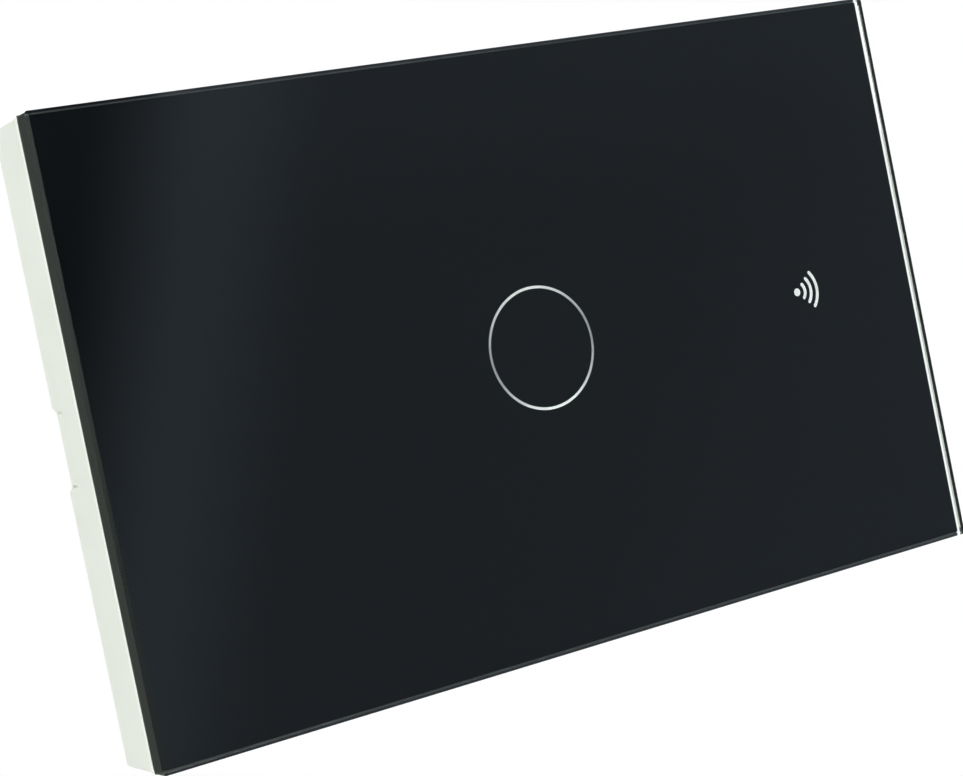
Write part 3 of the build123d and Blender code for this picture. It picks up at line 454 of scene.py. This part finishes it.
frameMouldings = {
    "whiteMoulding": {
        "colour": (0.88, 0.915, 0.83), "gloss": 0.4, "grain": 6500.0, "mottle": 0.03, "relief": 0.012 * mm,
        "nodes": ("panel_frame", "snap_hooks"),
    },
    "baseMoulding": {
        "colour": (0.80, 0.81, 0.77), "gloss": 0.5, "grain": 4200.0, "mottle": 0.04, "relief": 0.02 * mm,
        "nodes": ("base_frame", "rear_housing", "relay_bobbin"),
    },
    # the dark of the tape's foam, also used as painted shade in the gap along the long sides
    "darkTapeAndGapShade": {
        "colour": (0.055, 0.059, 0.056), "gloss": 0.85, "grain": 2500.0, "mottle": 0.2, "relief": 0.06 * mm,
        "nodes": ("glass_tape",),
    },
}


def dressAll(looks, makeMaterial):
    made = {}
    for name, look in looks.items():
        made[name] = makeMaterial(name, look)
        dress(made[name], look["nodes"])
    return made


framePlastics = dressAll(frameMouldings, mouldedPlastic)

gapShadeLook = {
    "inset": 0.1 * mm,
    "clearance": 0.02 * mm,
    "outerGap": 0.05 * mm,
    "endGap": 0.4 * mm,
    "round": 0.08 * mm,
    "segments": 3,
}


def makeGapShadeStrips():
    # dark strips along both long sides, from under the tape out as far as the frame's lip: painted shade in
    # the gap under the glass's edge, in the tape's dark colour
    look = gapShadeLook
    tapeLow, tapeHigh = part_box("glass_tape")
    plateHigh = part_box("glass_plate")[1]
    inner = tapeHigh.x - look["inset"]
    outer = plateHigh.x - look["outerGap"]
    front = tapeLow.y + look["clearance"]
    back = tapeHigh.y - look["clearance"]
    top = plateHigh.z - look["endGap"]
    mesh = bmesh.new()
    for near, far in ((-outer, -inner), (inner, outer)):
        edges = addBlock(mesh, Vector((near, front, tapeLow.z)), Vector((far, back, top)))
        easeEdges(mesh, edges, look["round"], look["segments"])
    newPiece("gapShadeStrips", mesh, framePlastics["darkTapeAndGapShade"])


ribLook = {
    "sideGap": 0.7 * mm,
    "tapeGap": 0.05 * mm,
    "endGap": 0.45 * mm,
    "clearance": 0.03 * mm,
    "round": 0.05 * mm,
    "segments": 3,
}


def makeSeatRib():
    # a low white rib of the frame at the far end of the tape, which the glass rests against
    look = ribLook
    tapeLow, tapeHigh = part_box("glass_tape")
    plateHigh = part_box("glass_plate")[1]
    reach = plateHigh.x - look["sideGap"]
    mesh = bmesh.new()
    edges = addBlock(
        mesh,
        Vector((-reach, tapeLow.y + look["clearance"], tapeHigh.z + look["tapeGap"])),
        Vector((reach, tapeHigh.y - look["clearance"], plateHigh.z - look["endGap"])),
    )
    easeEdges(mesh, edges, look["round"], look["segments"])
    newPiece("seatRib", mesh, framePlastics["whiteMoulding"])


makeGapShadeStrips()
makeSeatRib()


def three(name):
    return tuple(f"{name}_{n}" for n in (1, 2, 3))


metals = {
    # the stretch is small along the lines of rolling or drawing
    "zincSteel": {
        "colour": (0.60, 0.62, 0.64), "stretch": (1, 1, 0.06), "gloss": 0.36, "grain": 5000.0,
        "mottle": 0.2, "relief": 0.006 * mm, "nodes": ("mounting_plate", "relay_yoke", "relay_armature"),
    },
    "screwSteel": {
        "colour": (0.66, 0.66, 0.65), "stretch": (1, 0.3, 1), "gloss": 0.3, "grain": 7000.0,
        "mottle": 0.12, "relief": 0.006 * mm,
        "nodes": ("housing_screws", "touch_board_screws", "power_board_screws", *three("terminal_screw")),
    },
    "springWire": {
        "colour": (0.70, 0.69, 0.66), "stretch": (1, 1, 1), "gloss": 0.22, "grain": 9000.0,
        "mottle": 0.08, "relief": 0.003 * mm, "nodes": ("touch_spring",),
    },
    "tinnedSheet": {
        "colour": (0.74, 0.75, 0.76), "stretch": (0.08, 1, 1), "gloss": 0.25, "grain": 4500.0,
        "mottle": 0.08, "relief": 0.006 * mm, "nodes": ("radio_shield",),
    },
    "brassSheet": {
        "colour": (0.78, 0.58, 0.28), "stretch": (1, 0.1, 1), "gloss": 0.28, "grain": 5200.0,
        "mottle": 0.15, "relief": 0.006 * mm,
        "nodes": ("terminal_bars", "relay_fixed_contact", *three("terminal_cage")),
    },
}

dressAll(metals, rolledMetal)
print("frame dressed")


acrylicLook = {
    "colour": (0.93, 0.95, 0.95),
    "transmission": 0.75,
    "index": 1.49,
    "cloud": (300.0, 3.0),
    "roughness": (0.16, 0.28),
    "grain": (2600.0, 2.0),
    "relief": 0.004 * mm,
}


def makeAcrylic():
    look = acrylicLook
    material, tree, shader = newMaterial("opalAcrylic")
    shader.inputs["Base Color"].default_value = (*look["colour"], 1)
    shader.inputs["Transmission Weight"].default_value = look["transmission"]
    shader.inputs["IOR"].default_value = look["index"]
    place = objectPlace(tree)
    addClouding(tree, shader, place, look)
    addBump(tree, shader, addNoise(tree, place, *look["grain"]), look["relief"])
    return material


maskLook = {
    "cells": 420.0,
    "cellEdge": (0.42, 0.46),
    "lacquer": (0.012, 0.085, 0.045),
    "track": (0.028, 0.15, 0.08),
    "cloud": (700.0, 3.0),
    "roughness": (0.24, 0.34),
    "relief": 0.03 * mm,
}


def makeSolderMask():
    # green lacquer over copper: tracks show as a slightly lighter, raised pattern
    look = maskLook
    material, tree, shader = newMaterial("solderMask")
    place = objectPlace(tree)
    cells = tree.nodes.new("ShaderNodeTexVoronoi")
    cells.feature = "F1"
    cells.distance = "CHEBYCHEV"
    cells.inputs["Scale"].default_value = look["cells"]
    tree.links.new(place, cells.inputs["Vector"])
    track = addRange(tree, cells.outputs["Distance"], *look["cellEdge"], 0.0, 1.0)
    lacquer = addColourMix(tree, track, (*look["lacquer"], 1), (*look["track"], 1))
    tree.links.new(lacquer, shader.inputs["Base Color"])
    addClouding(tree, shader, place, look)
    addBump(tree, shader, track, look["relief"])
    return material


boardMouldings = {
    "blackMoulding": {
        "colour": (0.022, 0.022, 0.024), "gloss": 0.45, "grain": 6000.0, "mottle": 0.2, "relief": 0.012 * mm,
        "nodes": (
            "pin_header", "header_socket", "touch_chip", "rectifier", "supply_chip", "transformer_bobbin",
        ),
    },
    "relayCase": {
        "colour": (0.03, 0.03, 0.034), "gloss": 0.32, "grain": 3500.0, "mottle": 0.15, "relief": 0.012 * mm,
        "nodes": ("relay_case", "relay_base"),
    },
    "ledBody": {
        "colour": (0.82, 0.79, 0.62), "gloss": 0.35, "grain": 5000.0, "mottle": 0.06, "relief": 0.012 * mm,
        "nodes": ("ring_leds", "icon_led"),
    },
    "ferrite": {
        "colour": (0.05, 0.05, 0.055), "gloss": 0.6, "grain": 3000.0, "mottle": 0.35, "relief": 0.04 * mm,
        "nodes": ("transformer_core",),
    },
    "filmBox": {
        "colour": (0.72, 0.50, 0.10), "gloss": 0.38, "grain": 4000.0, "mottle": 0.06, "relief": 0.012 * mm,
        "nodes": ("line_capacitor",),
    },
    "canSleeve": {
        "colour": (0.035, 0.04, 0.055), "gloss": 0.3, "grain": 2500.0, "mottle": 0.1, "relief": 0.012 * mm,
        "nodes": ("bulk_capacitors",),
    },
    "fuseBody": {
        "colour": (0.06, 0.062, 0.066), "gloss": 0.4, "grain": 4000.0, "mottle": 0.1, "relief": 0.012 * mm,
        "nodes": ("fuse",),
    },
    "blueLacquer": {
        "colour": (0.03, 0.10, 0.34), "gloss": 0.25, "grain": 1800.0, "mottle": 0.12, "relief": 0.03 * mm,
        "nodes": ("varistor",),
    },
    "greenMoulding": {
        "colour": (0.05, 0.24, 0.10), "gloss": 0.42, "grain": 5000.0, "mottle": 0.06, "relief": 0.012 * mm,
        "nodes": ("terminal_block",),
    },
    "clothPaper": {
        "colour": (0.62, 0.59, 0.50), "gloss": 0.75, "grain": 2200.0, "mottle": 0.15, "relief": 0.03 * mm,
        "nodes": ("insulation_sheet",),
    },
}

windingLook = {
    "axis": "Y",
    "bandsPerScale": 3.14,  # a wave texture's bands in each metre at a scale of 1, nearly
    "distortion": 0.6,
}

windings = {
    "yellowTape": {
        "colour": (0.80, 0.60, 0.08), "gapColour": (0.62, 0.44, 0.05), "turnsPerMetre": 900.0,
        "cloud": (500.0, 3.0), "roughness": (0.35, 0.45), "relief": 0.02 * mm,
        "nodes": ("transformer_winding",),
    },
    "copperWire": {
        "colour": (0.78, 0.34, 0.14), "gapColour": (0.30, 0.10, 0.04), "turnsPerMetre": 9000.0,
        "cloud": (500.0, 3.0), "roughness": (0.23, 0.33), "relief": 0.05 * mm,
        "nodes": ("relay_coil",),
    },
}


def makeWinding(name, look):
    # layers of wire or tape laid side by side along one axis
    material, tree, shader = newMaterial(name)
    place = objectPlace(tree)
    wave = tree.nodes.new("ShaderNodeTexWave")
    wave.wave_type = "BANDS"
    wave.bands_direction = windingLook["axis"]
    wave.inputs["Scale"].default_value = look["turnsPerMetre"] / windingLook["bandsPerScale"]
    wave.inputs["Distortion"].default_value = windingLook["distortion"]
    tree.links.new(place, wave.inputs["Vector"])
    laid = addColourMix(tree, wave.outputs["Fac"], (*look["gapColour"], 1), (*look["colour"], 1))
    tree.links.new(laid, shader.inputs["Base Color"])
    addClouding(tree, shader, place, look)
    addBump(tree, shader, wave.outputs["Fac"], look["relief"])
    return material


dress(makeAcrylic(), ["ring_light_guide", "icon_light_guide"])
dress(makeSolderMask(), ["touch_board", "power_board", "radio_module"])
dressAll(boardMouldings, mouldedPlastic)
dressAll(windings, makeWinding)
print("boards dressed")


floorLook = {
    "height": -0.30,
    "size": 8.0,
    "colour": (0.86, 0.87, 0.87),
    "cloud": (3.0, 2.0),
    "shades": (0.98, 1.0),
    "roughness": 0.8,
}


def makeFloor():
    look = floorLook
    material, tree, shader = newMaterial("paleFloor")
    cloud = addNoise(tree, objectPlace(tree), *look["cloud"])
    shade = addRange(tree, cloud, *noiseSpan, *look["shades"])
    tree.links.new(addShaded(tree, (*look["colour"], 1), shade), shader.inputs["Base Color"])
    shader.inputs["Roughness"].default_value = look["roughness"]
    mesh = bmesh.new()
    bmesh.ops.create_grid(mesh, x_segments=1, y_segments=1, size=look["size"] / 2)
    bmesh.ops.translate(mesh, vec=(0, 0, look["height"]), verts=mesh.verts)
    floor = newObject("floor", mesh, material)
    floor.visible_glossy = False


lights = (
    # name, place, size, power and whether gloss shows it, all aimed at the object
    ("leftPanel", (-1.15, -0.75, 0.55), 0.9, 7.0, True),
    ("rightPanel", (1.15, -0.70, 0.50), 0.9, 7.0, True),
    ("lowPanel", (0.0, -0.75, -0.22), 0.5, 4.6, True),
    ("topPanel", (0.0, -0.75, 1.05), 1.0, 5.0, False),
    ("rearPanel", (-0.5, 1.2, 0.35), 0.9, 6.0, True),
)


def makeLights():
    for name, place, size, power, mirrored in lights:
        lamp = bpy.data.lights.new(name, "AREA")
        lamp.shape = "SQUARE"
        lamp.size = size
        lamp.energy = power
        light = bpy.data.objects.new(name, lamp)
        light.location = place
        light.rotation_euler = (-Vector(place)).to_track_quat("-Z", "Y").to_euler()
        light.visible_glossy = mirrored
        bpy.context.scene.collection.objects.link(light)


roomLook = {
    # what gloss and glass see: a white backdrop behind the plate and a dim room in front of it
    "diffuseLight": 0.5,
    "tint": (0.83, 1.0, 1.17),
    "lowTint": (0.93, 1.05, 0.94),
    "nearest": 0.2,
    "backdrop": (0.2, 0.6),
    "horizon": 0.08,
    "low": (-0.1, -0.45),
    "lowLevels": (0.2, 0.32),
    # the table straight below, brighter on one side
    "table": (-0.6, -0.95),
    "tableSides": (-0.1, 0.17),
    "tableLevels": (0.8, 0.15),
    # the room's slopes are tangents of a direction's rise and side over its way into the room
    "slant": 0.38,
    "edgeSlope": 0.4225,
    "edgeSoftness": 0.036,
    "shade": 0.075,
    "level": 0.3,
    "bandOffset": 0.037,
    "bandReach": 0.072,
    "bandLevel": 0.19,
    "topSlant": 0.7,
    "topSlope": 0.752,
    "topReach": 0.14,
    "topLevel": 0.035,
    "side": (-0.03, -0.13),
    "sideLevel": 0.05,
}


def addRoom(tree):
    # a slanting soft edge with shade under it, a brighter band above it, and plain grey beyond
    look = roomLook
    coordinates = tree.nodes.new("ShaderNodeTexCoord")
    direction = tree.nodes.new("ShaderNodeSeparateXYZ")
    tree.links.new(coordinates.outputs["Generated"], direction.inputs[0])
    across, depth, height = (direction.outputs[axis] for axis in "XYZ")
    reach = addMath(tree, "MAXIMUM", addMath(tree, "MULTIPLY", depth, -1.0), look["nearest"])
    steep = addMath(tree, "DIVIDE", height, reach)
    side = addMath(tree, "DIVIDE", across, reach)
    tilted = addMath(tree, "ADD", steep, addMath(tree, "MULTIPLY", side, look["slant"]))
    rise = addMath(tree, "SUBTRACT", tilted, look["edgeSlope"])
    softness = look["edgeSoftness"]
    plain = addRange(tree, rise, -softness, softness, look["shade"], look["level"], smooth=True)
    away = addMath(tree, "ABSOLUTE", addMath(tree, "SUBTRACT", rise, look["bandOffset"]))
    band = addRange(tree, away, 0.0, look["bandReach"], look["bandLevel"], 0.0, smooth=True)
    steeper = addMath(tree, "ADD", steep, addMath(tree, "MULTIPLY", side, look["topSlant"]))
    topEnd = look["topSlope"] + look["topReach"]
    top = addRange(tree, steeper, look["topSlope"], topEnd, 0.0, look["topLevel"], smooth=True)
    wing = addRange(tree, side, *look["side"], 0.0, look["sideLevel"], smooth=True)
    upper = addMath(tree, "ADD", addMath(tree, "ADD", plain, band), addMath(tree, "ADD", top, wing))
    above = addRange(tree, height, -look["horizon"], look["horizon"], 0.0, 1.0, smooth=True)
    low = addRange(tree, height, *look["low"], *look["lowLevels"], smooth=True)
    table = addMath(
        tree, "MULTIPLY",
        addRange(tree, height, *look["table"], 0.0, 1.0, smooth=True),
        addRange(tree, across, *look["tableSides"], *look["tableLevels"], smooth=True),
    )
    under = addMath(tree, "ADD", low, table)
    lower = addMath(tree, "MULTIPLY", addMath(tree, "SUBTRACT", 1.0, above), under)
    level = addMath(tree, "ADD", addMath(tree, "MULTIPLY", above, upper), lower)
    tint = addColourMix(tree, above, (*look["lowTint"], 1), (*look["tint"], 1))
    behind = addRange(tree, depth, *look["backdrop"], 0.0, 1.0, smooth=True)
    return level, tint, addMath(tree, "MULTIPLY", behind, above)


def makeWorld():
    world = bpy.data.worlds.new("studio")
    bpy.context.scene.world = world
    world.use_nodes = True
    tree = world.node_tree
    tree.nodes.clear()

    def addBackground(colour, strength):
        background = tree.nodes.new("ShaderNodeBackground")
        setOrLink(tree, background.inputs["Color"], colour)
        setOrLink(tree, background.inputs["Strength"], strength)
        return background

    def addMixed(factor, first, second):
        mix = tree.nodes.new("ShaderNodeMixShader")
        tree.links.new(factor, mix.inputs["Fac"])
        tree.links.new(first.outputs[0], mix.inputs[1])
        tree.links.new(second.outputs[0], mix.inputs[2])
        return mix

    level, tint, backdrop = addRoom(tree)
    white = addBackground((1, 1, 1, 1), 1.0)
    lighting = addBackground((1, 1, 1, 1), roomLook["diffuseLight"])
    room = addBackground(tint, level)
    rays = tree.nodes.new("ShaderNodeLightPath")
    direct = addMath(tree, "LESS_THAN", rays.outputs["Diffuse Depth"], 0.5)  # before any matt bounce
    seen = addMath(tree, "MAXIMUM", rays.outputs["Is Glossy Ray"], rays.outputs["Is Transmission Ray"])
    mirrored = addMath(tree, "MULTIPLY", seen, direct)
    around = addMixed(mirrored, lighting, addMixed(backdrop, room, white))
    shown = addMixed(rays.outputs["Is Camera Ray"], around, white)
    output = tree.nodes.new("ShaderNodeOutputWorld")
    tree.links.new(shown.outputs[0], output.inputs["Surface"])


cameraLook = {
    "place": (-0.00652, -0.24383, -0.15406),
    "right": (0.1993, -0.5197, 0.8308),
    "up": (-0.9791, -0.0713, 0.1903),
    "forward": (0.0397, 0.8514, 0.5230),
    "lens": 87.8,
    "sensor": 36.0,
    "shift": (0.00165, 0.01223),
    "nearest": 0.01,
}


def makeCamera():
    look = cameraLook
    lens = bpy.data.cameras.new("photoCamera")
    lens.lens = look["lens"]
    lens.sensor_width = look["sensor"]
    lens.sensor_fit = "HORIZONTAL"
    lens.shift_x, lens.shift_y = look["shift"]
    lens.clip_start = look["nearest"]
    camera = bpy.data.objects.new("photoCamera", lens)
    turn = Matrix((look["right"], look["up"], [-v for v in look["forward"]])).transposed()
    camera.matrix_world = Matrix.Translation(look["place"]) @ turn.to_4x4()
    bpy.context.scene.collection.objects.link(camera)
    bpy.context.scene.camera = camera


makeFloor()
makeLights()
makeWorld()
makeCamera()
bpy.context.scene.view_settings.view_transform = "Standard"
print("studio set")
